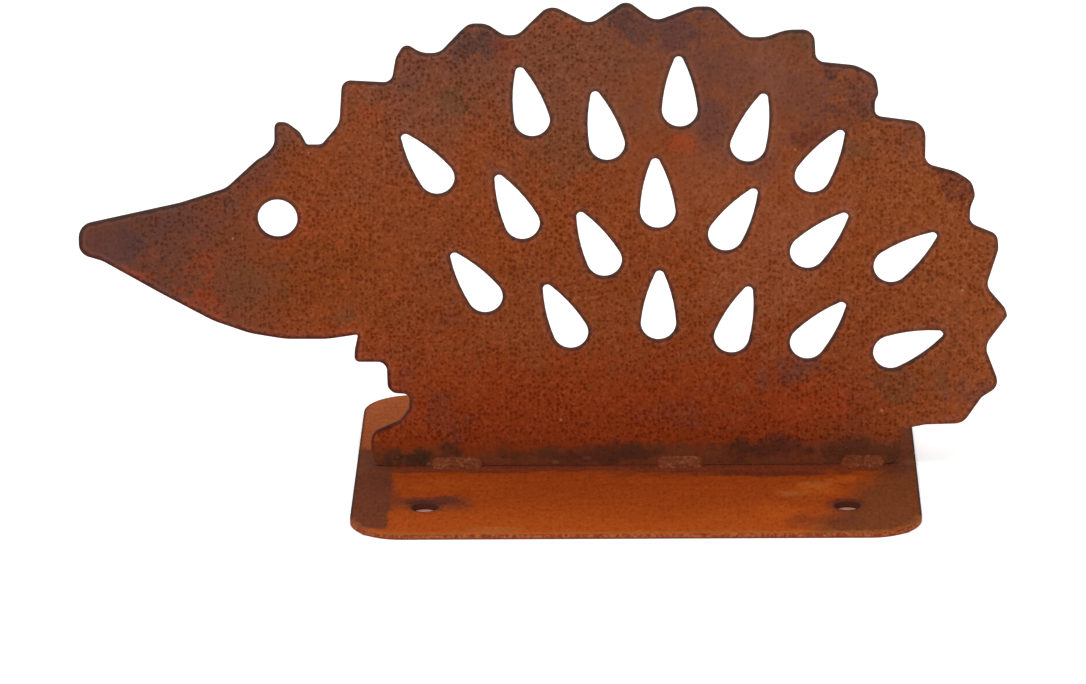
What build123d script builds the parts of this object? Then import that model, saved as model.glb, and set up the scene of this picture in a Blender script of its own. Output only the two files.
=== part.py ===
from build123d import *
import os
from math import acos, hypot, sqrt, tan

# A hedgehog figurine for a shelf or a flower bed, made of rusted sheet steel.
# The animal is one flat cut silhouette that stands upright across a flat base plate.
# Three short weld beads, laid along the front of the join, hold it there.
# Origin: centre of the base plate's underside. +X to the tail, +Y to the back, +Z up.

# Driving dimensions, in millimetres
figure_length = 300.0
figure_height = 155.7
figure_thickness = 2.0
figure_front_setback = 4.0  # from the base plate's middle to the figure's front face
sole_margin = 4.9  # the base plate reaches this far past the toe and past the heel
base_depth = 138.8
base_thickness = 2.0
base_corner_radius = 16.8
screw_hole_diameter = 8.0
screw_hole_side_inset = 23.6
screw_hole_front_inset = 25.0
eye_diameter = 12.8
drop_length = 23.7
drop_round_radius = 5.7
drop_tip_radius = 1.5
drop_flank_radius = 50.0
weld_leg = 3.0
head_weld_length = 17.0
middle_weld_length = 15.6
tail_weld_length = 14.4
edge_break = 0.2

# Shares of the figure: x from the nose in percent of its length, z from the base in percent
# of its height, and each corner's rounding in percent of its length.
percent = 0.01
toe_share = 31.1
heel_share = 88.7
outline_shares = [
    # Sole, toe and the front of the leg
    (heel_share, 0.0, 1.8), (toe_share, 0.0, 1.8), (toe_share, 7.2, 1.5), (34.3, 9.9, 1.0),
    (35.3, 12.7, 0.8), (35.4, 15.9, 0.7), (33.0, 16.2, 1.25), (32.95, 23.0, 1.0),
    (29.45, 23.05, 0.9), (29.5, 25.5, 2.0),
    # Chin, jaw and nose
    (29.9, 29.05, 0.15), (26.6, 28.1, 9.0), (22.0, 28.15, 9.0), (18.2, 29.45, 9.0),
    (14.3, 32.2, 9.0), (8.5, 38.5, 9.0), (2.5, 45.4, 3.3), (0.0, 46.9, 1.5), (0.0, 53.0, 1.7),
    # Bridge of the nose and the forehead
    (11.0, 57.7, 9.0), (16.0, 60.8, 2.7), (19.4, 66.9, 5.0), (20.4, 68.0, 2.7),
    (21.35, 70.2, 2.0),
    # Ear and the dip behind it
    (21.4, 75.0, 0.9), (22.7, 74.95, 1.5), (24.15, 72.7, 1.3), (24.8, 70.1, 0.35),
    (26.4, 70.1, 0.8), (28.35, 74.6, 2.5), (28.55, 79.5, 9.0), (28.72, 83.9, 1.0),
    # Spines on the crown
    (34.0, 83.3, 1.0), (34.5, 88.6, 1.8), (35.5, 91.8, 0.8), (37.3, 89.5, 2.7),
    (39.2, 89.6, 1.7), (41.4, 94.1, 2.7), (42.4, 95.8, 2.0), (44.3, 95.75, 2.3),
    (46.1, 93.2, 1.7), (47.6, 93.3, 1.7), (51.0, 99.8, 1.7), (55.3, 95.4, 1.7),
    (59.15, 100.6, 1.3), (62.2, 96.0, 1.7), (66.4, 99.1, 2.7), (68.3, 99.1, 1.7),
    (71.9, 92.5, 2.0),
    # Spines on the back
    (73.9, 92.5, 2.7), (76.2, 94.05, 4.0), (78.4, 94.1, 1.2), (79.2, 92.6, 1.5),
    (79.35, 87.3, 1.05), (83.6, 86.4, 3.0), (85.75, 84.2, 2.5), (86.05, 80.5, 1.0),
    (85.65, 79.0, 1.7), (85.65, 75.6, 0.8), (91.1, 74.1, 1.8), (91.05, 65.3, 1.2),
    (94.4, 63.5, 3.3), (96.1, 61.3, 2.0), (96.45, 58.6, 1.0), (95.95, 56.0, 2.0),
    (95.85, 52.4, 1.2),
    # Spines on the rump
    (98.9, 49.9, 1.5), (99.0, 46.9, 1.7), (97.7, 38.7, 1.7), (99.75, 34.0, 0.8),
    (100.05, 32.4, 0.4), (97.6, 25.8, 2.0), (99.3, 17.1, 1.3), (97.35, 14.6, 1.3),
    (95.35, 8.85, 1.7), (91.3, 8.65, 3.3),
    # Notch above the heel
    (heel_share, 7.65, 0.15),
]
eye_shares = (21.5, 54.4)
# Places of the teardrop holes' round ends, and how far each tip leans to the nose, in degrees
drop_shares = [
    # Upper row
    (38.7, 63.0, 36.4), (49.0, 75.3, 12.6), (57.0, 70.1, 12.7), (64.8, 77.2, 1.0),
    (72.1, 69.6, -17.2), (79.0, 62.9, -32.3),
    # Middle row
    (47.8, 53.1, 25.9), (56.6, 45.0, 26.5), (62.4, 55.4, 2.5), (69.7, 50.4, -32.2),
    (78.5, 46.5, -44.6), (87.5, 43.3, -52.9),
    # Lower row
    (43.7, 37.2, 35.5), (52.9, 29.3, 26.4), (62.4, 31.1, -1.5), (70.3, 28.1, -19.0),
    (78.5, 26.7, -41.5), (87.5, 24.5, -68.9),
]
# Centres of the three weld beads along the figure
weld_centre_shares = (40.4, 64.7, 84.5)
# The part of a run beside a corner that the corner's arc may take up
run_share = 0.45

# Sizes that follow from these
base_width = figure_length * percent * (heel_share - toe_share) + 2 * sole_margin
nose_x = sole_margin - base_width / 2 - figure_length * percent * toe_share
back_plane = Plane.XZ.offset(figure_front_setback - figure_thickness)
front_plane = Plane.XZ.offset(figure_front_setback)


def figure_point(x_share, z_share):
    """A place on the figure's sheet, as plane coordinates (x, height above the floor)."""
    x = nose_x + figure_length * percent * x_share
    z = base_thickness + figure_height * percent * z_share
    return x, z


def fitting_radius(before, corner, after, wanted):
    """The wanted radius, or the largest one that the two runs at the corner leave room for."""
    run_in = hypot(corner[0] - before[0], corner[1] - before[1])
    run_out = hypot(after[0] - corner[0], after[1] - corner[1])
    ahead = (corner[0] - before[0]) * (after[0] - corner[0])
    ahead += (corner[1] - before[1]) * (after[1] - corner[1])
    turn = acos(max(-1, min(1, ahead / (run_in * run_out))))
    return min(wanted, run_share * min(run_in, run_out) / tan(turn / 2))


def outline_corners():
    """The silhouette's corners and their radii, in the same order."""
    corners = [figure_point(x, z) for x, z, rounding in outline_shares]
    radii = []
    for i, corner in enumerate(corners):
        after = corners[(i + 1) % len(corners)]
        rounding = outline_shares[i][2]
        wanted = figure_length * percent * rounding
        radii.append(fitting_radius(corners[i - 1], corner, after, wanted))
    return corners, radii


def teardrop():
    """One teardrop, tip up: a round end and a tip, joined by two flanks that touch both."""
    reach = drop_length - drop_round_radius - drop_tip_radius
    to_round = drop_flank_radius - drop_round_radius
    to_tip = drop_flank_radius - drop_tip_radius
    flank_z = (reach**2 + to_round**2 - to_tip**2) / (2 * reach)
    flank_x = sqrt(to_round**2 - flank_z**2)
    round_grow = drop_flank_radius / to_round
    tip_grow = drop_flank_radius / to_tip
    low = (flank_x * round_grow - flank_x, flank_z - flank_z * round_grow)
    high = (flank_x * tip_grow - flank_x, flank_z + (reach - flank_z) * tip_grow)
    with BuildSketch(mode=Mode.PRIVATE) as drop:
        with BuildLine():
            RadiusArc(low, high, -drop_flank_radius)
            ThreePointArc(high, (0, reach + drop_tip_radius), (-high[0], high[1]))
            RadiusArc((-high[0], high[1]), (-low[0], low[1]), -drop_flank_radius)
            ThreePointArc((-low[0], low[1]), (0, -drop_round_radius), low)
        make_face()
    return drop.sketch


# Base plate
os.makedirs("parts", exist_ok=True)
with BuildPart() as base_plate:
    with BuildSketch(Plane.XY):
        RectangleRounded(base_width, base_depth, base_corner_radius)
        hole_pitch_x = base_width - 2 * screw_hole_side_inset
        hole_pitch_y = base_depth - 2 * screw_hole_front_inset
        with GridLocations(hole_pitch_x, hole_pitch_y, 2, 2):
            Circle(screw_hole_diameter / 2, mode=Mode.SUBTRACT)
    extrude(amount=base_thickness)
    rims = base_plate.faces().filter_by(Axis.Z).edges()
    chamfer(rims, length=edge_break)
base_plate.part.label = "base_plate"
export_step(base_plate.part, "parts/base_plate.step")

# Silhouette of the hedgehog, with its eye and the teardrop holes on its back
with BuildPart() as hedgehog_plate:
    with BuildSketch(back_plane):
        corners, radii = outline_corners()
        with BuildLine():
            FilletPolyline(*corners, radius=radii, close=True)
        make_face()
        with Locations(figure_point(*eye_shares)):
            Circle(eye_diameter / 2, mode=Mode.SUBTRACT)
        for x, z, lean in drop_shares:
            with Locations(Location((*figure_point(x, z), 0), lean)):
                add(teardrop(), mode=Mode.SUBTRACT)
    extrude(amount=figure_thickness)
    chamfer(hedgehog_plate.faces().filter_by(Axis.Y).edges(), length=edge_break)
hedgehog_plate.part.label = "hedgehog_plate"
export_step(hedgehog_plate.part, "parts/hedgehog_plate.step")

# Weld beads: quarter-round, with rounded ends, in the corner between the figure and the base
join_line = Axis((0, -figure_front_setback, base_thickness), (1, 0, 0))
weld_names = ("weld_bead_head", "weld_bead_middle", "weld_bead_tail")
weld_lengths = (head_weld_length, middle_weld_length, tail_weld_length)
for name, centre, length in zip(weld_names, weld_centre_shares, weld_lengths):
    with BuildPart() as weld_bead:
        with BuildSketch(front_plane):
            with Locations(figure_point(centre, 0)):
                SlotOverall(length, 2 * weld_leg)
                Rectangle(length, weld_leg, align=(Align.CENTER, Align.MIN), mode=Mode.INTERSECT)
        revolve(axis=join_line, revolution_arc=90)
    weld_bead.part.label = name
    export_step(weld_bead.part, f"parts/{name}.step")
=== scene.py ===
import math
import random

import bmesh
import bpy
import numpy as np
from mathutils import Matrix, Vector
from mathutils.geometry import delaunay_2d_cdt
from mathutils.kdtree import KDTree
from mathutils.noise import noise as smooth_noise


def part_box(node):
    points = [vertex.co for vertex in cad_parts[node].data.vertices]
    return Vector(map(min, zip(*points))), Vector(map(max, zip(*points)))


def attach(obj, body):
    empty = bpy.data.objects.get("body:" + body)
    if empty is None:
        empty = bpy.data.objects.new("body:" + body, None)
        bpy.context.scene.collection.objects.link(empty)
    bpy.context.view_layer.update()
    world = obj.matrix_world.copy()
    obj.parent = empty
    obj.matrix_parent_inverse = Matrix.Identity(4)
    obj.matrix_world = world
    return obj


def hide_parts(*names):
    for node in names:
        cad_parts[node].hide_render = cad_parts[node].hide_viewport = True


# The looks of a hedgehog figurine of rusted sheet steel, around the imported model.
# Lengths are in metres, as in the frame, unless a name ends in mm.

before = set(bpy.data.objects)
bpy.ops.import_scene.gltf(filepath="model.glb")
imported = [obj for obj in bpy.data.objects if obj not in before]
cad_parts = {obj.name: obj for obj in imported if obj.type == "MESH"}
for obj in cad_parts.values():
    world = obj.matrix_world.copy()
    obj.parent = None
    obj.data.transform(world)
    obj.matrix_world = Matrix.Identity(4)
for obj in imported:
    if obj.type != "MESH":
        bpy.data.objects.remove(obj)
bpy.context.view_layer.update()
MM = 0.001
X, Y, Z = 0, 1, 2

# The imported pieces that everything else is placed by
figure_low, figure_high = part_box("hedgehog_plate")
base_low, base_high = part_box("base_plate")
front_mm, back_mm = figure_low.y / MM, figure_high.y / MM
base_left_mm, base_right_mm = base_low.x / MM, base_high.x / MM
base_front_mm, base_back_mm = base_low.y / MM, base_high.y / MM
base_top_mm = base_high.z / MM
WELDS = ("weld_bead_head", "weld_bead_middle", "weld_bead_tail")


# Cut sheets: both plates are meshed anew, so that each point knows how near a cut edge is
RING_DEPTHS_MM = (0.3, 0.7, 1.3)  # rows of points that follow each cut edge
RING_STEPS_MM = (0.7, 1.1, 1.6)  # how far apart the points of a row stand
ROW_CLEARANCE = 0.93  # a point of a row may lie this much of its depth from another edge
ROW_SPACING = 0.6  # points of a row stand at least this much of its step apart
LATTICE_STEP_MM = 2.4  # how far apart the points stand further in
FLAT_NORMAL = 0.99  # a face whose normal lies this much along the axis belongs to a flat side
SAME_PLACE_MM = 0.001
SHARP_ANGLE = math.radians(30)
AT_A_TIME = 2000  # so many points are held against all edges in one go


def inside(points, edges):
    """Which points lie in the area that the closed loops of edges bound, by counting crossings."""
    x, y = points[:, :1], points[:, 1:]
    ax, ay = edges[:, 0, 0], edges[:, 0, 1]
    bx, by = edges[:, 1, 0], edges[:, 1, 1]
    rise = np.where(by == ay, 1.0, by - ay)
    found = []
    for some in np.array_split(np.arange(len(points)), len(points) // AT_A_TIME + 1):
        spans = (ay > y[some]) != (by > y[some])
        left = x[some] < ax + (y[some] - ay) * (bx - ax) / rise
        found.append((spans & left).sum(axis=1) % 2 == 1)
    return np.concatenate(found)


def along_edges(edges, step):
    """Points about one step apart on the edges, and the unit normal of the edge at each."""
    places, normals = [], []
    for a, b in edges:
        run = b - a
        length = math.hypot(*run)
        if length == 0:
            continue
        count = max(1, round(length / step))
        share = (np.arange(count) + 0.5) / count
        places.append(a + share[:, None] * run)
        normals.append(np.tile((-run[1] / length, run[0] / length), (count, 1)))
    return np.concatenate(places), np.concatenate(normals)


def tree_of(points):
    """A search tree of flat points."""
    tree = KDTree(len(points))
    for i, (x, y) in enumerate(points):
        tree.insert((x, y, 0), i)
    tree.balance()
    return tree


def thin_out(points, least):
    """The points, without those that stand nearer than least to an earlier one."""
    tree = tree_of(points)
    dropped = set()
    for i, (x, y) in enumerate(points):
        if i not in dropped:
            near = tree.find_range((x, y, 0), least)
            dropped.update(j for _, j, _ in near if j > i)
    return points[[i for i in range(len(points)) if i not in dropped]]


def edge_facts(points, edges):
    """How far each point lies from the nearest edge, and the unit direction out to that edge."""
    samples, _ = along_edges(edges, RING_DEPTHS_MM[0] / 2)
    tree = tree_of(np.concatenate([samples, edges[:, 0]]))
    found = [tree.find((x, y, 0)) for x, y in points]
    nearest = np.array([place[:2] for place, _, _ in found])
    deep = np.array([far for _, _, far in found])
    return deep, (nearest - points) / deep[:, None]


def depths(points, edges):
    """How far each point lies from the nearest edge."""
    return edge_facts(points, edges)[0]


def inner_points(edges):
    """Points that fill the area within the edges: rows beside the edges, then an even lattice."""
    chosen = []
    for depth, step in zip(RING_DEPTHS_MM, RING_STEPS_MM):
        places, normals = along_edges(edges, step)
        row = np.concatenate([places + normals * depth, places - normals * depth])
        row = row[inside(row, edges)]
        row = row[depths(row, edges) > depth * ROW_CLEARANCE]
        chosen.append(thin_out(row, step * ROW_SPACING))
    low, high = edges.min(axis=(0, 1)), edges.max(axis=(0, 1))
    lattice = []
    for i, y in enumerate(np.arange(low[1], high[1], LATTICE_STEP_MM * math.sqrt(3) / 2)):
        x = np.arange(low[0] + i % 2 * LATTICE_STEP_MM / 2, high[0], LATTICE_STEP_MM)
        lattice.append(np.stack([x, np.full(len(x), y)], axis=1))
    lattice = np.concatenate(lattice)
    lattice = lattice[inside(lattice, edges)]
    clear = RING_DEPTHS_MM[-1] + LATTICE_STEP_MM / 2
    chosen.append(lattice[depths(lattice, edges) > clear])
    return np.concatenate(chosen)


def fill_side(bm, depth, way, rim_edges, axis, level, outward):
    """Fills one open side of a sheet with even triangles, and notes how far in each point lies."""
    # The open rim, as flat points and edges in mm
    across = [i for i in (X, Y, Z) if i != axis]
    verts = list(dict.fromkeys(v for e in rim_edges for v in e.verts))
    number = {v: i for i, v in enumerate(verts)}
    rim = np.array([[v.co[i] / MM for i in across] for v in verts])
    pairs = [(number[e.verts[0]], number[e.verts[1]]) for e in rim_edges]
    edges = rim[np.array(pairs)]

    # New points within it; each corner of the rim takes its outward direction from the nearest
    fill = inner_points(edges)
    deep, out = edge_facts(fill, edges)
    fill_tree = tree_of(fill)
    for v, (x, y) in zip(verts, rim):
        v[way] = (*out[fill_tree.find((x, y, 0))[1]], 0)

    # Triangles over all of it, which join the rim's own corners
    points = [Vector(p) for p in np.concatenate([rim, fill])]
    places, _, faces, sources, _, _ = delaunay_2d_cdt(points, pairs, [], 0, SAME_PLACE_MM / 10)
    made = []
    for place, source in zip(places, sources):
        known = [i for i in source if i < len(verts)]
        if known:
            made.append(verts[known[0]])
            continue
        co = [level] * 3
        for i, length in zip(across, place):
            co[i] = length * MM
        made.append(bm.verts.new(co))
        if source:
            made[-1][depth] = deep[source[0] - len(verts)]
            made[-1][way] = (*out[source[0] - len(verts)], 0)

    # The triangles that don't lie in a hole or outside become faces
    centres = np.array([[sum(places[i][k] for i in f) / len(f) for k in (0, 1)] for f in faces])
    for kept, f in zip(inside(centres, edges), faces):
        if not kept:
            continue
        face = bm.faces.new([made[i] for i in f])
        face.normal_update()
        if face.normal[axis] * outward < 0:
            face.normal_flip()


def cut_sheet(node_name, axis, material, name):
    """A finely meshed copy of a CAD sheet whose faces are square to the axis."""
    # The CAD sheet without its two flat sides
    bm = bmesh.new()
    bm.from_mesh(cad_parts[node_name].data)
    bmesh.ops.remove_doubles(bm, verts=bm.verts, dist=SAME_PLACE_MM * MM)
    bm.normal_update()
    flat = [f for f in bm.faces if abs(f.normal[axis]) > FLAT_NORMAL]
    bmesh.ops.delete(bm, geom=flat, context="FACES")

    # Both sides anew
    depth = bm.verts.layers.float.new("edge_mm")
    way = bm.verts.layers.float_vector.new("edge_way")
    low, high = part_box(node_name)
    middle = (low[axis] + high[axis]) / 2
    rims = [e for e in bm.edges if e.is_boundary]
    for level, outward in ((low[axis], -1), (high[axis], 1)):
        own = [e for e in rims if (e.verts[0].co[axis] - middle) * outward > 0]
        fill_side(bm, depth, way, own, axis, level, outward)

    # The corners on the walls take the outward direction of their neighbours
    for v in bm.verts:
        if not v[way].length:
            near = [e.other_vert(v)[way].copy() for e in v.link_edges]
            v[way] = sum(near, Vector()).normalized()
    bmesh.ops.delete(bm, geom=[v for v in bm.verts if not v.link_faces], context="VERTS")
    bm.normal_update()
    return finish_piece(bm, name, material, [node_name])


def finish_piece(bm, name, material, stands_for=()):
    """Makes the piece from its bmesh, with smooth faces that break at sharp edges."""
    for f in bm.faces:
        f.smooth = True
    for e in bm.edges:
        e.smooth = len(e.link_faces) != 2 or e.calc_face_angle(0) < SHARP_ANGLE
    mesh = bpy.data.meshes.new(name)
    bm.to_mesh(mesh)
    bm.free()
    mesh.materials.append(material)
    piece = bpy.data.objects.new(name, mesh)
    bpy.context.scene.collection.objects.link(piece)
    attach(piece, "root")
    if stands_for:
        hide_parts(*stands_for)
    return piece


# Weld beads: a rippled fillet along each join, with fine spatter round it
BEAD_STEP_MM = 0.15
BEAD_ARC_STEPS = 14
BEAD_SINK_MM = 0.06  # the weld metal reaches this far into both plates
BEAD_HOLLOW = 0.24  # how far the middle of the bead's face lies inside a round one
RIPPLE_PITCH_MM = 1.15
RIPPLE_HEIGHT = 0.05  # as a share of the bead's size, and so is the lumps' height
LUMP_LENGTH_MM = 2.2
LUMP_HEIGHT = 0.09
SPATTER_COUNT = 9  # drops of spatter near each bead
SPATTER_RADIUS_MM = (0.16, 0.42)
SPATTER_REACH_MM = (9.0, 7.0)  # how far it lies along the join, and away from it
SPATTER_FLATNESS = 0.55  # a drop's thickness, as a share of its width
SPATTER_SEED = 7


def weld_bead(node_name, material):
    """A weld bead with crescent ripples, lumps and round ends, in the place of its CAD solid."""
    low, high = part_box(node_name)
    leg = high.z - low.z
    back, bottom = high.y, low.z
    length = high.x - low.x
    sink = BEAD_SINK_MM * MM
    stations = round(length / (BEAD_STEP_MM * MM))
    bm = bmesh.new()
    rings = []
    for i in range(stations + 1):
        x = low.x + length * (1 - math.cos(math.pi * i / stations)) / 2
        from_end = min(x - low.x, high.x - x) / leg
        swell = math.sqrt(max(0, 1 - max(0, 1 - from_end) ** 2))
        ring = [bm.verts.new((x, back + sink, bottom - sink))]
        for k in range(BEAD_ARC_STEPS + 1):
            turn = math.pi / 2 * k / BEAD_ARC_STEPS
            bow = math.sin(2 * turn)
            ripple = (x / MM + bow) / RIPPLE_PITCH_MM % 1
            lump = smooth_noise(Vector((x, 0, turn * leg)) / (LUMP_LENGTH_MM * MM))
            size = 1 - BEAD_HOLLOW * bow + RIPPLE_HEIGHT * (ripple - 0.5) * bow + LUMP_HEIGHT * lump
            reach = leg * swell * size + sink * (1 - bow)
            y, z = back - reach * math.sin(turn), bottom + reach * math.cos(turn)
            if k == 0:
                y = back + sink
            if k == BEAD_ARC_STEPS:
                z = bottom - sink
            ring.append(bm.verts.new((x, y, z)))
        rings.append(ring)
    for here, there in zip(rings, rings[1:]):
        for k, after in zip(range(len(here)), [*range(1, len(here)), 0]):
            bm.faces.new((here[k], there[k], there[after], here[after]))
    bm.faces.new(rings[0])
    bm.faces.new(rings[-1][::-1])
    bmesh.ops.remove_doubles(bm, verts=bm.verts, dist=SAME_PLACE_MM * MM)
    bmesh.ops.dissolve_degenerate(bm, edges=bm.edges, dist=SAME_PLACE_MM * MM)
    bmesh.ops.recalc_face_normals(bm, faces=bm.faces)
    return finish_piece(bm, node_name + "_rippled", material, [node_name])


def weld_spatter(beads, material):
    """Small drops of weld metal that stuck to both plates beside the beads."""
    chance = random.Random(SPATTER_SEED)
    bm = bmesh.new()
    for node_name in beads:
        low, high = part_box(node_name)
        for i in range(SPATTER_COUNT):
            radius = chance.uniform(*SPATTER_RADIUS_MM) * MM
            x = chance.gauss((low.x + high.x) / 2, SPATTER_REACH_MM[0] * MM)
            away = (high.z - low.z) + chance.random() ** 2 * SPATTER_REACH_MM[1] * MM
            upright = i % 2 == 0
            place = (x, high.y, low.z + away) if upright else (x, high.y - away, low.z)
            flat = (1, SPATTER_FLATNESS, 1) if upright else (1, 1, SPATTER_FLATNESS)
            shape = Matrix.Translation(place) @ Matrix.Diagonal((*flat, 1))
            bmesh.ops.create_icosphere(bm, subdivisions=3, radius=radius, matrix=shape)
    return finish_piece(bm, "weld_spatter", material)


# Colours, as sRGB values of 0 to 255
# The figure's
BROWN = (131, 63, 27)
WARM_BROWN = (135, 63, 22)
DULL_BROWN = (117, 66, 44)
RED_BROWN = (148, 58, 14)
RUMP_BROWN = (136, 70, 33)
SNOUT_BROWN = (94, 55, 41)
GOLD_BROWN = (121, 57, 15)
DUSTY_BROWN = (142, 77, 47)
VIOLET = (92, 57, 52)
DARK_VIOLET = (74, 50, 48)
OLIVE = (96, 64, 40)
RED_ORANGE = (156, 62, 22)
DUST = (196, 140, 98)
# The cut edges and walls
EDGE = (50, 42, 40)
EDGE_RED = (70, 28, 26)
HALO = (160, 120, 112)
HOLE_WALL = (100, 48, 32)
RUST_RED = (132, 50, 24)
WALL_TAN = (172, 98, 52)
# The marks of heat
HEAT_BROWN = (130, 65, 37)
HEAT_BLACK = (74, 48, 32)
HEAT_VIOLET = (88, 42, 32)
# The base plate's
ORANGE = (144, 58, 9)
BRIGHT_ORANGE = (163, 72, 14)
TAN = (160, 94, 46)
FOOT_RED = (117, 49, 22)
JOIN_RED = (103, 41, 19)
END_BROWN = (100, 51, 31)
END_OLIVE = (108, 56, 26)
END_DARK = (88, 44, 32)
SALMON = (163, 85, 44)
REAR_BROWN = (110, 56, 30)
# The weld metal's, and a pale stain, which on the floor under the base plate is painted shade
WELD = (109, 53, 25)
WELD_LIGHT = (124, 63, 30)
PALE_STAIN_AND_SHADE = (168, 122, 110)


def linear(colour):
    """An sRGB colour of 0 to 255 as the shader's linear one."""
    parts = [c / 255 for c in colour]
    return (*[((p + 0.055) / 1.055) ** 2.4 if p > 0.04 else p / 12.92 for p in parts], 1)


SIDE_SHIFT = 7.0  # moves the specks of a sheet's two sides apart, by this much per mm across it
SPECK_EDGE = (1.3, 0.5)  # a speck fades in between these shares of its radius
BLOOM_EDGE = (1.0, 0.3)  # a patch fades in between these shares of its reach
NOISE_RANGE = (0.25, 0.75)  # nearly all of a noise's values lie between these
TINY = 0.001  # keeps a division clear of zero


class Look:
    """A material, with short ways to add nodes. Every pattern is placed in mm on the object."""

    def __init__(self, name, face, stretch=1.0):
        """The face is a list of three axes: those along the sheet's face, then the one across it.

        The stretch draws the grain out along the second axis.
        """
        self.material = bpy.data.materials.new(name)
        self.material.use_nodes = True
        self.tree = self.material.node_tree
        self.surface = self.tree.nodes["Principled BSDF"]
        place = self.add("TexCoord", {}, "Object")
        self.place = self.add("VectorMath", {0: place, 1: (1 / MM,) * 3}, operation="MULTIPLY")
        self.axes = [self.add("SeparateXYZ", {0: self.place}, part) for part in (X, Y, Z)]
        self.x, self.y, self.z = self.axes
        along, up, across = (self.axes[axis] for axis in face)
        shifted = self.plus(along, self.times(across, SIDE_SHIFT))
        self.face = self.add("CombineXYZ", {0: shifted, 1: self.times(up, 1 / stretch)})
        self.grain_stretch = [1, 1, 1]
        self.grain_stretch[face[1]] = stretch

    def add(self, kind, inputs, output=0, **settings):
        """Adds a node, sets or links its inputs, and gives one of its outputs."""
        node = self.tree.nodes.new("ShaderNode" + kind)
        for name, setting in settings.items():
            setattr(node, name, setting)
        for socket, value in inputs.items():
            self.put(value, node.inputs[socket])
        return node.outputs[output]

    def put(self, value, socket):
        """Links a node's output to the socket, or sets the socket's own value."""
        if isinstance(value, bpy.types.NodeSocket):
            self.tree.links.new(value, socket)
        else:
            socket.default_value = value

    def math(self, operation, a, b=0.0):
        """What one Math node makes of its inputs."""
        return self.add("Math", {0: a, 1: b}, operation=operation)

    def plus(self, *terms):
        """The sum of all terms."""
        total = terms[0]
        for term in terms[1:]:
            total = self.math("ADD", total, term)
        return total

    def times(self, *factors):
        """The product of all factors."""
        product = factors[0]
        for factor in factors[1:]:
            product = self.math("MULTIPLY", product, factor)
        return product

    def fade(self, value, start, end, low=0.0, high=1.0):
        """Runs smoothly from low at start to high at end."""
        inputs = {0: value, 1: start, 2: end, 3: low, 4: high}
        return self.add("MapRange", inputs, interpolation_type="SMOOTHSTEP")

    def band(self, value, start, end, blur):
        """1 between start and end, fading to 0 over the blur outside them."""
        rise = self.fade(value, start - blur, start)
        return self.times(rise, self.fade(value, end + blur, end))

    def stretched(self, stretch, shift=0.0):
        """The place, drawn out along the axes by these factors."""
        factors = tuple(1 / s for s in stretch)
        place = self.add("VectorMath", {0: self.place, 1: factors}, operation="MULTIPLY")
        return self.add("VectorMath", {0: place, 1: (shift,) * 3}, operation="ADD")

    def noise(self, size, detail=2.0, roughness=0.5, stretch=(1, 1, 1), shift=0.0):
        """Soft noise whose patches are about size mm wide, of about 0.5 on average."""
        inputs = {"Scale": 1 / size, "Detail": detail, "Roughness": roughness}
        inputs["Vector"] = self.stretched(stretch, shift)
        return self.add("TexNoise", inputs)

    def cloud(self, size, stretch=(1, 1, 1), shift=0.0):
        """Noise in patches of about size mm with ragged outlines."""
        return self.noise(size, 3, 0.6, stretch, shift)

    def wobble(self, size, reach, shift=0.0):
        """Ragged noise from about minus to plus the reach."""
        return self.fade(self.cloud(size, shift=shift), *NOISE_RANGE, -reach, reach)

    def specks(self, spacing, radius, presence, bend=0.0):
        """Specks of up to radius mm, in a share of cells of about spacing mm, bent out of round."""
        bends = self.add("TexNoise", {"Vector": self.place, "Scale": 1 / spacing}, "Color")
        bends = self.add("VectorMath", {0: bends, 1: (bend,) * 3}, operation="MULTIPLY")
        place = self.add("VectorMath", {0: self.face, 1: bends}, operation="ADD")
        cells = {"Vector": place, "Scale": 1 / spacing, "Randomness": 1.0}
        heart, lot = (self.add("TexVoronoi", cells, k, voronoi_dimensions="2D") for k in (0, 1))
        lot = self.add("SeparateColor", {0: lot})
        size = self.fade(lot, 1 - presence, 1, 0, radius / spacing)
        edge = self.math("DIVIDE", heart, self.plus(size, TINY))
        return self.fade(edge, *SPECK_EDGE)

    def mix(self, factor, a, b):
        """Colour a, or b where the factor is 1. Colours of 0 to 255 are made linear."""
        a, b = (linear(c) if isinstance(c, tuple) else c for c in (a, b))
        return self.add("Mix", {0: factor, 6: a, 7: b}, 2, data_type="RGBA")

    def shaded(self, colour, factors, lift):
        """The colour times the factors for red, green and blue, plus the lift, in linear light."""
        inputs = {0: colour, 1: factors, 2: (lift,) * 3}
        shade = self.add("VectorMath", inputs, operation="MULTIPLY_ADD")
        return self.add("VectorMath", {0: shade, 1: (0, 0, 0)}, operation="MAXIMUM")

    def blooms(self, colour, patches, across, up, warp):
        """Oval patches over a colour: centre and reach in mm, the patch's colour and strength."""
        for centre, reach, bloom, strength in patches:
            sides = self.math("DIVIDE", self.plus(across, -centre[0]), reach[0])
            heights = self.math("DIVIDE", self.plus(up, -centre[1]), reach[1])
            squares = self.plus(self.times(sides, sides), self.times(heights, heights))
            away = self.plus(self.math("SQRT", squares), warp)
            colour = self.mix(self.fade(away, *BLOOM_EDGE, 0, strength), colour, bloom)
        return colour

    def edge_depth(self):
        """How far the place lies from the nearest cut edge, in mm."""
        return self.add("Attribute", {}, "Fac", attribute_name="edge_mm")

    def edge_way(self):
        """The direction out to the nearest cut edge, along the sheet's face: across and up."""
        way = self.add("Attribute", {}, "Vector", attribute_name="edge_way")
        return (self.add("SeparateXYZ", {0: way}, part) for part in (X, Y))

    def finish(self, colour, roughness, height, specular):
        """Gives the surface its colour, its roughness and its relief, a height in mm."""
        bump = self.add("Bump", {"Height": height, "Distance": MM}, "Normal")
        self.put(colour, self.surface.inputs["Base Color"])
        self.put(roughness, self.surface.inputs["Roughness"])
        self.put(bump, self.surface.inputs["Normal"])
        self.surface.inputs["Specular IOR Level"].default_value = specular
        return self.material


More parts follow.
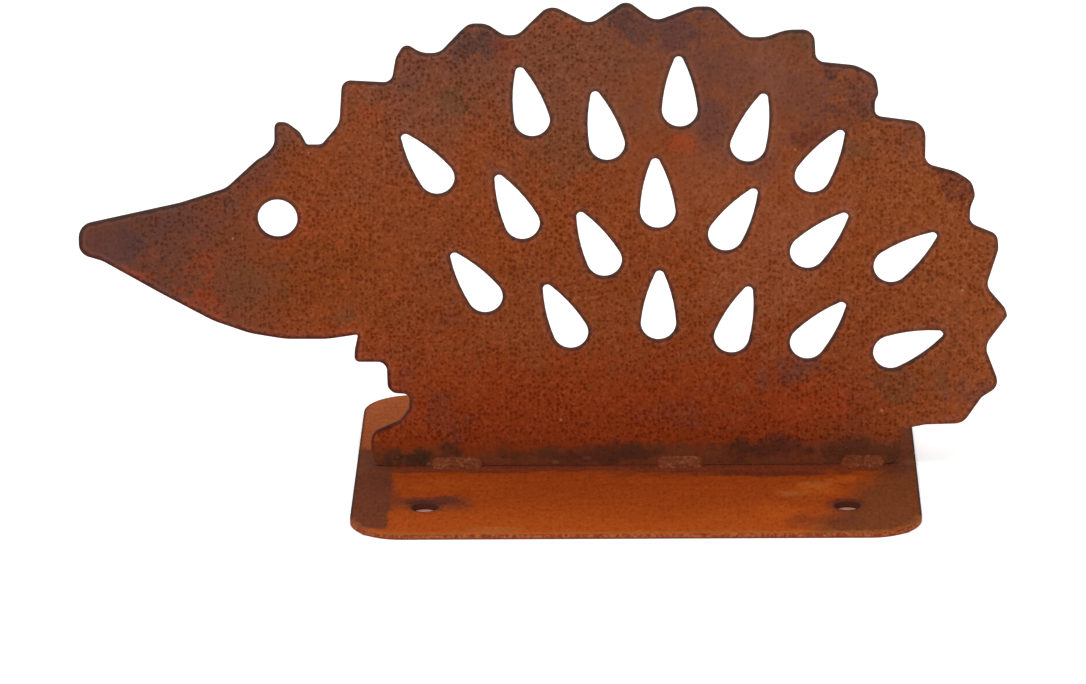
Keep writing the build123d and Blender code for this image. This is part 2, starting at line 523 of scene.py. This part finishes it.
# The rust's fine grain: factors for red, green and blue, and a lift in linear light
LIGHT_GRAIN = ((1.3, 1.3, 1.25), 0.008)
DARK_GRAIN = ((0.6, 0.5, 0.4), -0.006)
GRAIN_MM = 1.1
GRAIN_RANGE = (0.5, 0.68)  # the noise's values between which a light grain fades in
MOTTLE_MM = 1.0
MOTTLE_RANGE = (0.5, 0.34)
MOTTLE_STRENGTH = 0.55
DOT_SPACING_MM = 1.5
DOT_RADIUS_MM = 0.7
DOT_SHARE = 0.95
DOT_BEND = 1.3
DOT_STRENGTH = 0.95
SWELL_MM = 3
GRAIN_HEIGHT_MM, DOT_HEIGHT_MM, SWELL_HEIGHT_MM = 0.02, -0.04, 0.05


def grained(look, colour, specks, grain):
    """The rust's fine grain over a colour: light grains, dark mottling and small dark specks."""
    stretch = look.grain_stretch
    light = look.fade(look.noise(GRAIN_MM, 1, 0.4, stretch), *GRAIN_RANGE)
    dark = look.fade(look.noise(MOTTLE_MM, 1, 0.4, stretch, 31), *MOTTLE_RANGE)
    dots = look.specks(DOT_SPACING_MM, DOT_RADIUS_MM, DOT_SHARE, DOT_BEND)
    colour = look.mix(look.times(light, grain), colour, look.shaded(colour, *LIGHT_GRAIN))
    shade = look.shaded(colour, *DARK_GRAIN)
    colour = look.mix(look.times(dark, specks, MOTTLE_STRENGTH), colour, shade)
    colour = look.mix(look.times(dots, specks, DOT_STRENGTH), colour, shade)
    relief = look.plus(
        look.times(light, GRAIN_HEIGHT_MM),
        look.times(dots, DOT_HEIGHT_MM),
        look.times(look.noise(SWELL_MM, 3, shift=8), SWELL_HEIGHT_MM),
    )
    return colour, relief


# The walls that the cutting left round each sheet
CUT_LINE_MM = 0.35
CUT_LINE_LENGTH = 12  # times as long as wide
CUT_LINE_HEIGHT_MM = 0.06
WALL_INSET_MM = 0.22  # the cut walls begin this far from the sheet's faces


def cut_walls(look, amount, stretch):
    """The relief of the fine lines that the cutting left on a sheet's walls."""
    lines = look.noise(CUT_LINE_MM, 2, stretch=stretch, shift=15)
    return look.times(amount, lines, CUT_LINE_HEIGHT_MM)


# Broad changes of the figure's colour: axis, where each begins and is full in mm, colour, strength
FIGURE_FADES = [
    (Z, 62, 18, RED_BROWN, 0.85),
    (X, 30, 112, RUMP_BROWN, 0.8),
    (X, -95, -160, SNOUT_BROWN, 0.95),
]
# Faint clouds on the figure: size in mm, shift of the noise, its value where full, colour
FIGURE_CLOUDS = [
    (17, 12, 0.76, VIOLET),
    (12, 40, 0.8, RED_ORANGE),
    (9, 70, 0.8, OLIVE),
]
CLOUD_START = 0.56
CLOUD_STRENGTH = 0.3
# Where its grain is weaker: axis, where that begins and is full in mm, the share that is left
FIGURE_CALMS = [
    (X, -105, -125, 0.85),
    (X, -150, -170, 0.4),
    (Z, 12, 8, 0.3),
]
# Where its colour and edges change: x, z or height, where each change begins and is full, in mm
DULL_TOP_MM = (88, 140)
CALM_BACK_MM = (8, 50)
CALM_HEIGHT_MM = (70, 110)
CALM_LOSS = 0.5  # the share of the grain that is missing there
JAW_X_MM, JAW_Z_MM = (-72, -82), (84, 76)
HEEL_X_MM, HEEL_Z_MM = (83, 85), (18, 16)
SCORCH_TOP_MM = (10.4, 6.5)
SCORCH_STRENGTH = 0.9
SCORCH_RISE = 0.022  # the scorched band climbs this much per mm towards the tail

# Cut edges: a dark rim on the faces beside them, with a faint pale halo behind it
RIM_MM = (0.95, 0.3)  # the rim fades in between these distances from the edge
RIM_WIDTHS = (1.25, 0.85)  # how wide it is along lower and along upper edges
RIM_STRENGTH = 0.62
RIM_TO_TAIL, RIM_TO_TOP = -0.11, 0.07  # what is added where the edge faces that way
RIM_FOOT_MM = (3, 14)
RIM_FOOT_SHARE = 0.1
HEEL_SHARE = 0.3
JAW_SHARE = 1.35
WALL_STRENGTH = 0.75
HALO_MM = (1.1, 1.5)
HALO_FOOT_MM = (12, 18)
HALO_STRENGTH = 0.08

# Patches on the figure's sheet: centre (x, z) and reach (x, z) in mm, colour and strength
FIGURE_BLOOMS = [
    ((-100, 68), (26, 22), GOLD_BROWN, 0.6),
    ((38, 78), (32, 52), DUSTY_BROWN, 0.55),
    ((-20, 49), (46, 18), RUMP_BROWN, 0.55),
    ((-166, 80), (15, 9), VIOLET, 0.6),
    ((-163, 79), (7, 6), DARK_VIOLET, 0.4),
    ((-145, 89), (17, 7), VIOLET, 0.4),
    ((-122, 101), (14, 10), VIOLET, 0.3),
    ((-115, 114), (9, 8), VIOLET, 0.35),
    ((-124, 65), (12, 9), OLIVE, 0.4),
    ((-98, 53), (14, 6), OLIVE, 0.35),
    ((-141, 62), (8, 13), RED_ORANGE, 0.45),
    ((-163, 68), (14, 3), RED_ORANGE, 0.4),
    ((-112, 84), (16, 9), RED_ORANGE, 0.3),
    ((-84, 122), (11, 10), RED_ORANGE, 0.25),
    ((-80, 133), (9, 7), VIOLET, 0.25),
    ((-71, 137), (9, 7), VIOLET, 0.35),
    ((-51, 143), (12, 9), DARK_VIOLET, 0.7),
    ((-56, 130), (9, 12), OLIVE, 0.6),
    ((-38, 140), (8, 9), RED_ORANGE, 0.25),
    ((-22, 108), (22, 13), OLIVE, 0.35),
    ((-21, 152), (12, 6), RED_ORANGE, 0.25),
    ((-3, 154), (9, 7), DARK_VIOLET, 0.65),
    ((14, 150), (15, 9), VIOLET, 0.85),
    ((22, 133), (9, 15), VIOLET, 0.5),
    ((26, 117), (8, 12), VIOLET, 0.6),
    ((13, 111), (9, 5), RED_ORANGE, 0.5),
    ((42, 136), (9, 9), PALE_STAIN_AND_SHADE, 0.07),
    ((52, 147), (9, 6), OLIVE, 0.8),
    ((58, 113), (10, 8), HEAT_VIOLET, 0.6),
    ((73, 129), (13, 10), VIOLET, 0.6),
    ((56, 126), (13, 14), VIOLET, 0.3),
    ((71, 120), (9, 9), HEAT_VIOLET, 0.35),
    ((40, 105), (10, 8), VIOLET, 0.35),
    ((66, 137), (8, 5), DARK_VIOLET, 0.4),
    ((90, 116), (9, 9), VIOLET, 0.3),
    ((74, 110), (9, 12), OLIVE, 0.45),
    ((103, 98), (10, 10), HEAT_VIOLET, 0.65),
    ((110, 24), (12, 9), VIOLET, 0.4),
    ((55, 23), (15, 9), RED_ORANGE, 0.75),
    ((50, 33), (12, 7), VIOLET, 0.5),
    ((88, 30), (13, 9), OLIVE, 0.4),
    ((-66, 18), (11, 10), VIOLET, 0.3),
    ((12, 20), (10, 7), VIOLET, 0.2),
]
# Scorched patches of the figure's foot, and bare marks beside the weld beads
FOOT_BLOOMS = [
    ((-72, 5.5), (15, 4.5), HEAT_BLACK, 0.9),
    ((-35, 6), (16, 4.5), HEAT_BLACK, 0.45),
    ((-8, 6), (14, 5), HEAT_VIOLET, 0.6),
    ((4, 6), (16, 4), HEAT_BLACK, 0.5),
    ((40, 7), (18, 5.5), HEAT_VIOLET, 0.7),
    ((38, 7), (13, 4.5), HEAT_BLACK, 0.35),
    ((74, 7), (17, 4.5), HEAT_BLACK, 0.5),
    ((-26.6, 3.2), (1.4, 0.8), DUST, 0.2),
    ((-67.5, 2.8), (1.2, 0.8), DUST, 0.25),
    ((-16, 4.6), (1.6, 0.7), DUST, 0.1),
]


def figure_rim(look):
    """How strongly the figure's cut edges and walls are darkened, and how strong their halo is."""
    across, up = look.edge_way()
    reach = look.fade(up, 0, 0.9, *RIM_WIDTHS)
    depth = look.math("DIVIDE", look.plus(look.edge_depth(), look.wobble(2.2, 0.3)), reach)
    facing = look.plus(look.times(across, RIM_TO_TAIL), look.times(up, RIM_TO_TOP))
    strength = look.plus(RIM_STRENGTH, facing)
    uneven = look.fade(look.noise(3.5, 2, 0.6, shift=9), 0.35, 0.65, 0.75, 1.1)
    rim = look.times(look.fade(depth, *RIM_MM), strength, uneven)
    wall = look.band(look.y, front_mm + WALL_INSET_MM, back_mm - WALL_INSET_MM, 0.1)
    rim = look.math("MAXIMUM", rim, look.times(wall, WALL_STRENGTH))
    rim = look.times(rim, look.fade(look.z, *RIM_FOOT_MM, RIM_FOOT_SHARE, 1))
    heel = look.times(look.fade(look.x, *HEEL_X_MM), look.fade(look.z, *HEEL_Z_MM))
    rim = look.times(rim, look.fade(heel, 0, 1, 1, HEEL_SHARE))
    halo = look.times(look.band(depth, *HALO_MM, 0.4), look.fade(look.z, *HALO_FOOT_MM))
    return rim, look.times(halo, HALO_STRENGTH)


def figure_look():
    """The figure's rust: brown, duller on top, redder below, bluish blooms and a scorched foot."""
    look = Look("figure_rust", (X, Z, Y))
    warp = look.plus(look.wobble(13, 0.6), look.wobble(4, 0.3, shift=50))
    colour = look.mix(look.fade(look.noise(26, 3, 0.55), 0.38, 0.64), BROWN, WARM_BROWN)
    top = look.fade(look.plus(look.z, look.wobble(20, 16)), *DULL_TOP_MM)
    colour = look.mix(top, colour, DULL_BROWN)
    for axis, start, end, tint, strength in FIGURE_FADES:
        colour = look.mix(look.fade(look.axes[axis], start, end, 0, strength), colour, tint)
    for size, shift, full, tint in FIGURE_CLOUDS:
        cloud = look.fade(look.cloud(size, shift=shift), CLOUD_START, full, 0, CLOUD_STRENGTH)
        colour = look.mix(cloud, colour, tint)
    colour = look.blooms(colour, FIGURE_BLOOMS, look.x, look.z, warp)

    # The scorched foot
    rising = look.times(look.x, -SCORCH_RISE)
    height = look.plus(look.z, rising, look.wobble(14, 1.6, shift=2), look.wobble(2.5, 1, shift=6))
    scorch = look.cloud(7, (2.5, 1, 1), 23)
    scorch = look.mix(look.fade(scorch, 0.4, 0.65, 0, 0.35), HEAT_BROWN, HEAT_BLACK)
    colour = look.mix(look.fade(height, *SCORCH_TOP_MM, 0, SCORCH_STRENGTH), colour, scorch)
    colour = look.blooms(colour, FOOT_BLOOMS, look.x, look.z, warp)

    # Grain, weaker on the snout, on the foot and in the middle of the back, and pale dust
    calm = look.times(look.band(look.x, *CALM_BACK_MM, 24), look.fade(look.z, *CALM_HEIGHT_MM))
    smooth = look.plus(1, look.times(calm, -CALM_LOSS))
    for axis, start, end, left in FIGURE_CALMS:
        smooth = look.times(smooth, look.fade(look.axes[axis], start, end, 1, left))
    patchy = look.fade(look.noise(20, 2, shift=5), 0.35, 0.6, 0.7, 1.0)
    grain = look.times(smooth, look.fade(look.x, -90, -120, 0.85, 0.5))
    colour, relief = grained(look, colour, look.times(smooth, patchy), grain)
    colour = look.mix(look.times(look.specks(26, 0.5, 0.2), 0.5), colour, DUST)

    # Cut edges, redder and darker along the jaw
    rim, halo = figure_rim(look)
    colour = look.mix(halo, colour, HALO)
    jaw = look.times(look.fade(look.z, *JAW_Z_MM), look.fade(look.x, *JAW_X_MM))
    rim = look.times(rim, look.fade(jaw, 0, 1, 1, JAW_SHARE))
    colour = look.mix(rim, colour, look.mix(jaw, EDGE, EDGE_RED))
    wall = look.fade(look.edge_depth(), 0.05, 0)
    relief = look.plus(relief, cut_walls(look, wall, (1, CUT_LINE_LENGTH, 1)))
    roughness = look.fade(look.noise(4, 3, shift=6), 0.3, 0.7, 0.72, 0.9)
    return look.finish(colour, roughness, relief, 0.12)


# Patches on the base plate: centre (x, y) and reach (x, y) in mm, colour and strength
FIELD_BLOOMS = [
    ((-62, -21), (22, 9), BRIGHT_ORANGE, 0.4),
    ((-12, -26), (40, 12), ORANGE, 0.8),
    ((6, -52), (26, 12), ORANGE, 0.4),
    ((67, -19), (12, 5), BRIGHT_ORANGE, 0.9),
    ((58, -28), (12, 9), BRIGHT_ORANGE, 1.0),
    ((46, -49), (10, 12), BRIGHT_ORANGE, 0.8),
    ((50, -33), (7, 6), TAN, 0.55),
    ((58, -24), (7, 5), TAN, 0.35),
    ((54, -58), (8, 10), FOOT_RED, 0.6),
    ((-46, -66), (13, 5), TAN, 0.4),
    ((62, -62), (12, 4), TAN, 0.3),
    ((30, -11), (50, 6.5), FOOT_RED, 0.9),
    ((42, -13), (32, 4), JOIN_RED, 1.0),
    ((-74, -8), (12, 3), HEAT_VIOLET, 0.8),
    ((-45, -9.5), (9, 2), JOIN_RED, 0.7),
]
REAR_BLOOMS = [
    ((-28, 42), (36, 15), BRIGHT_ORANGE, 0.45),
    ((8, 60), (34, 8), TAN, 0.45),
    ((42, 30), (24, 12), END_OLIVE, 0.45),
    ((-62, 58), (16, 9), RUST_RED, 0.35),
    ((68, 44), (12, 9), HEAT_VIOLET, 0.45),
    ((10, 22), (30, 7), FOOT_RED, 0.6),
    ((80, 58), (12, 12), END_DARK, 0.4),
]
END_BLOOMS = [
    ((-66, -41), (19, 9), END_BROWN, 0.7),
    ((-65, -38), (12, 7), HEAT_VIOLET, 0.75),
    ((-69, -41), (8, 6), EDGE_RED, 0.6),
    ((67.7, -41), (8, 5), EDGE_RED, 0.6),
    ((-83, -18), (7, 12), END_DARK, 0.4),
    ((-78, -38), (4, 14), END_DARK, 0.4),
    ((68, -45), (9, 8), HEAT_VIOLET, 0.5),
    ((64, -58), (12, 9), END_DARK, 0.35),
    ((84, -8), (8, 9), HEAT_VIOLET, 0.6),
]


# Where the base plate's colour changes, in mm along and across it
LIGHT_FRONT_MM = (-36, -62)
LEFT_END_MM = (base_left_mm + 13.4, base_left_mm + 11.2)
RIGHT_END_MM = (78, 90)
RIGHT_END_SLANT = -0.4
END_STRENGTH = 0.95
JOIN_BAND_MM = (-8.5, 10)
JOIN_SHADE_MM = (-5.0, 3)
JOIN_LINE_MM = (-10.5, -9.7)
REAR_MM = (10, 17)
REAR_END_MM = (60, 85)
REAR_STRENGTH = 0.95
FRONT_RIM_MM = base_front_mm + 18  # the rim and walls nearer than this are the front edge's


def base_top(look):
    """The colours of the base plate's upper face, without grain and edges."""
    warp = look.wobble(9, 1)
    fine = look.wobble(2.5, 0.4, shift=11)
    streak = look.cloud(3, (4, 1, 1), 4)
    colour = look.mix(look.fade(streak, 0.4, 0.75, 0, 0.5), ORANGE, BRIGHT_ORANGE)
    colour = look.mix(look.fade(look.y, *LIGHT_FRONT_MM, 0, 0.7), colour, BRIGHT_ORANGE)
    colour = look.blooms(colour, FIELD_BLOOMS, look.x, look.y, look.times(warp, 0.3))

    # The dark band along the join
    near_join = look.plus(look.y, warp, fine)
    colour = look.mix(look.band(near_join, *JOIN_BAND_MM, 2.0), colour, FOOT_RED)
    broken = look.fade(look.noise(11, 2), 0.45, 0.6)
    line = look.times(look.band(near_join, *JOIN_LINE_MM, 0.8), broken)
    colour = look.mix(look.times(line, 0.7), colour, HEAT_VIOLET)
    shade = look.band(near_join, *JOIN_SHADE_MM, 1.5)
    colour = look.mix(look.times(shade, 0.5), colour, HEAT_VIOLET)

    # Both ends
    left = look.fade(look.plus(look.x, look.times(warp, 0.4), fine), *LEFT_END_MM)
    left = look.times(left, look.fade(look.plus(look.y, warp), -66, -63))
    slant = look.plus(look.x, look.times(look.y, RIGHT_END_SLANT), look.times(warp, 3))
    right = look.fade(slant, *RIGHT_END_MM)
    colour = look.mix(look.times(left, END_STRENGTH), colour, END_BROWN)
    colour = look.mix(look.times(right, END_STRENGTH), colour, END_OLIVE)
    colour = look.blooms(colour, END_BLOOMS, look.x, look.y, look.times(warp, 0.25))

    # The half behind the figure
    cloud = look.fade(look.cloud(24, shift=17), 0.42, 0.7, 0, 0.35)
    behind = look.mix(cloud, SALMON, ORANGE)
    behind = look.mix(look.fade(look.x, *REAR_END_MM), behind, REAR_BROWN)
    behind = look.blooms(behind, REAR_BLOOMS, look.x, look.y, look.times(warp, 0.4))
    rear = look.fade(look.plus(look.y, look.times(warp, 2)), *REAR_MM)
    colour = look.mix(look.times(rear, REAR_STRENGTH), colour, behind)
    return colour, look.fade(streak, 0.3, 0.7, 0.7, 0.85)


def base_look():
    """The base plate's rust: orange in front, violet-brown ends, a dark band along the join."""
    look = Look("base_rust", (X, Y, Z), 2.2)
    colour, roughness = base_top(look)
    colour, relief = grained(look, colour, 0.34, 0.35)

    # Cut edges: worn to a light tan in front, dark behind and round the holes
    rim = look.fade(look.plus(look.edge_depth(), look.wobble(1.5, 0.2)), 0.75, 0.25)
    front = look.fade(look.y, FRONT_RIM_MM, FRONT_RIM_MM - 6)
    tan_rim = look.fade(look.plus(look.edge_depth(), look.wobble(2, 1.2)), 2.2, 0.6)
    colour = look.mix(look.times(tan_rim, front, look.noise(1.5, 3), 0.8), colour, TAN)
    colour = look.mix(look.times(rim, look.fade(front, 1, 0), 0.75), colour, EDGE)

    # Walls, from the rims down to the floor
    wall = look.fade(look.z, base_top_mm - WALL_INSET_MM, base_top_mm - WALL_INSET_MM - 0.08)
    wall_colour = look.mix(look.fade(look.cloud(1.0), 0.35, 0.7), RUST_RED, WALL_TAN)
    wall_colour = look.mix(look.fade(look.z, 0.8, 0.15), wall_colour, RUST_RED)
    inner_wall = look.fade(look.y, FRONT_RIM_MM, FRONT_RIM_MM + 4)
    wall_colour = look.mix(look.times(inner_wall, 0.95), wall_colour, HOLE_WALL)
    colour = look.mix(wall, colour, wall_colour)
    colour = look.mix(look.fade(look.z, 0.3, 0.1, 0, 0.8), colour, EDGE)
    relief = look.plus(relief, cut_walls(look, wall, (1, 1, CUT_LINE_LENGTH)))
    return look.finish(colour, roughness, relief, 0.08)


BEAD_SHARE = 0.6  # the bare metal's colour reaches this share of a bead's length from its middle
BEAD_HEIGHT_MM = 2.4


def weld_look():
    """Weld metal under a thin rust film: light brown grains, dark pits and a sooty rim."""
    look = Look("weld_rust", (X, Z, Y))
    metal = look.mix(look.fade(look.cloud(2.2), 0.42, 0.66), WELD, WELD_LIGHT)
    spots = []
    for weld in WELDS:
        low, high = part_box(weld)
        centre = (low + high) / 2 / MM
        reach = ((high.x - low.x) / MM * BEAD_SHARE, BEAD_HEIGHT_MM)
        spots.append(((centre.x, centre.z), reach, metal, 0.95))
    colour = look.blooms(HEAT_BROWN, spots, look.x, look.z, look.wobble(2, 0.3))
    colour, relief = grained(look, colour, 0.85, 1.0)
    roughness = look.fade(look.noise(1.5, 3), 0.3, 0.7, 0.55, 0.75)
    return look.finish(colour, roughness, relief, 0.1)


FLOOR_GLOW = 0.36  # the floor is lit from below too, like a product table, so shadows stay pale
FLOOR_TINTS = ((246, 246, 246), (250, 250, 250))
# the painted shade on the floor under the base plate is full this far inside the plate's edges
SHADE_INSET_MM = 6


def floor_look():
    """A plain pale floor with the faintest mottling, and painted shade in a rusty pinkish grey
    where the base plate lies.
    """
    look = Look("pale_floor", (X, Y, Z))
    colour = look.mix(look.noise(90, 2), *FLOOR_TINTS)
    wide = look.band(look.x, base_left_mm + SHADE_INSET_MM, base_right_mm - SHADE_INSET_MM, 3)
    deep = look.band(look.y, base_front_mm + SHADE_INSET_MM, base_back_mm - SHADE_INSET_MM, 3)
    covered = look.times(wide, deep)
    # painted shade: the floor under the base plate, seen through its holes, is darkened to a rusty
    # pinkish grey
    colour = look.mix(covered, colour, PALE_STAIN_AND_SHADE)
    look.put(colour, look.surface.inputs["Emission Color"])
    look.put(look.fade(covered, 0, 1, FLOOR_GLOW, 0), look.surface.inputs["Emission Strength"])
    return look.finish(colour, 0.9, look.times(look.noise(2, 2), 0.01), 0.1)


# Stage: floor, lights and camera
FLOOR_SIDE = 9.0
FLOOR_CELLS = 12
FLOOR_DROP = 0.00005  # keeps the floor's face apart from the base plate's underside
WORLD_LIGHT = 0.35
# Softboxes: place, side length and power in watts
SOFTBOXES = [
    ((-1.2, -1.8, 2.2), 2.6, 20),
    ((0.0, -0.3, 2.8), 3.0, 66),
]
AZIMUTH, ELEVATION, ROLL = (math.radians(a) for a in (1.16, 18.1, -0.65))
CAMERA_DISTANCE = 2.1445
CAMERA_SIDE_SHIFT, CAMERA_UP_SHIFT = -0.03051, 0.04084
PHOTO_WIDTH_PX = 1086
FOCAL_LENGTH_PX = 6559
SENSOR_MM = 36


def make_floor():
    """The floor under the base plate, as a piece of the stage."""
    bm = bmesh.new()
    bmesh.ops.create_grid(bm, x_segments=FLOOR_CELLS, y_segments=FLOOR_CELLS, size=FLOOR_SIDE / 2)
    mesh = bpy.data.meshes.new("floor")
    bm.to_mesh(mesh)
    bm.free()
    mesh.materials.append(floor_look())
    floor = bpy.data.objects.new("floor", mesh)
    floor.location.z = base_low.z - FLOOR_DROP
    bpy.context.scene.collection.objects.link(floor)


def make_lights():
    """A weak white world light and the softboxes, which are aimed at the figure's middle."""
    world = bpy.data.worlds.new("studio")
    world.use_nodes = True
    world.node_tree.nodes["Background"].inputs["Color"].default_value = (1, 1, 1, 1)
    world.node_tree.nodes["Background"].inputs["Strength"].default_value = WORLD_LIGHT
    bpy.context.scene.world = world
    for i, (place, side, power) in enumerate(SOFTBOXES):
        lamp = bpy.data.lights.new(f"softbox_{i}", "AREA")
        lamp.size = side
        lamp.energy = power
        box = bpy.data.objects.new(lamp.name, lamp)
        box.location = place
        aim = (figure_low + figure_high) / 2 - Vector(place)
        box.rotation_euler = aim.to_track_quat("-Z", "Y").to_euler()
        bpy.context.scene.collection.objects.link(box)


def make_camera():
    """The camera at the photograph's place, a little to the right and tipped a touch."""
    level = math.cos(ELEVATION)
    back = Vector((math.sin(AZIMUTH) * level, -math.cos(AZIMUTH) * level, math.sin(ELEVATION)))
    right = (-back).cross(Vector((0, 0, 1))).normalized()
    up = back.cross(right)
    right, up = (
        math.cos(ROLL) * right + math.sin(ROLL) * up,
        math.cos(ROLL) * up - math.sin(ROLL) * right,
    )
    place = back * CAMERA_DISTANCE + right * CAMERA_SIDE_SHIFT + up * CAMERA_UP_SHIFT
    data = bpy.data.cameras.new("camera")
    data.sensor_width = SENSOR_MM
    data.lens = FOCAL_LENGTH_PX / PHOTO_WIDTH_PX * SENSOR_MM
    camera = bpy.data.objects.new("camera", data)
    turn = Matrix((right, up, back)).transposed().to_4x4()
    camera.matrix_world = Matrix.Translation(place) @ turn
    bpy.context.scene.collection.objects.link(camera)
    bpy.context.scene.camera = camera


cut_sheet("hedgehog_plate", Y, figure_look(), "hedgehog_sheet")
cut_sheet("base_plate", Z, base_look(), "base_sheet")
weld_material = weld_look()
for weld in WELDS:
    weld_bead(weld, weld_material)
weld_spatter(WELDS, weld_material)
make_floor()
make_lights()
make_camera()
bpy.context.scene.view_settings.view_transform = "Standard"
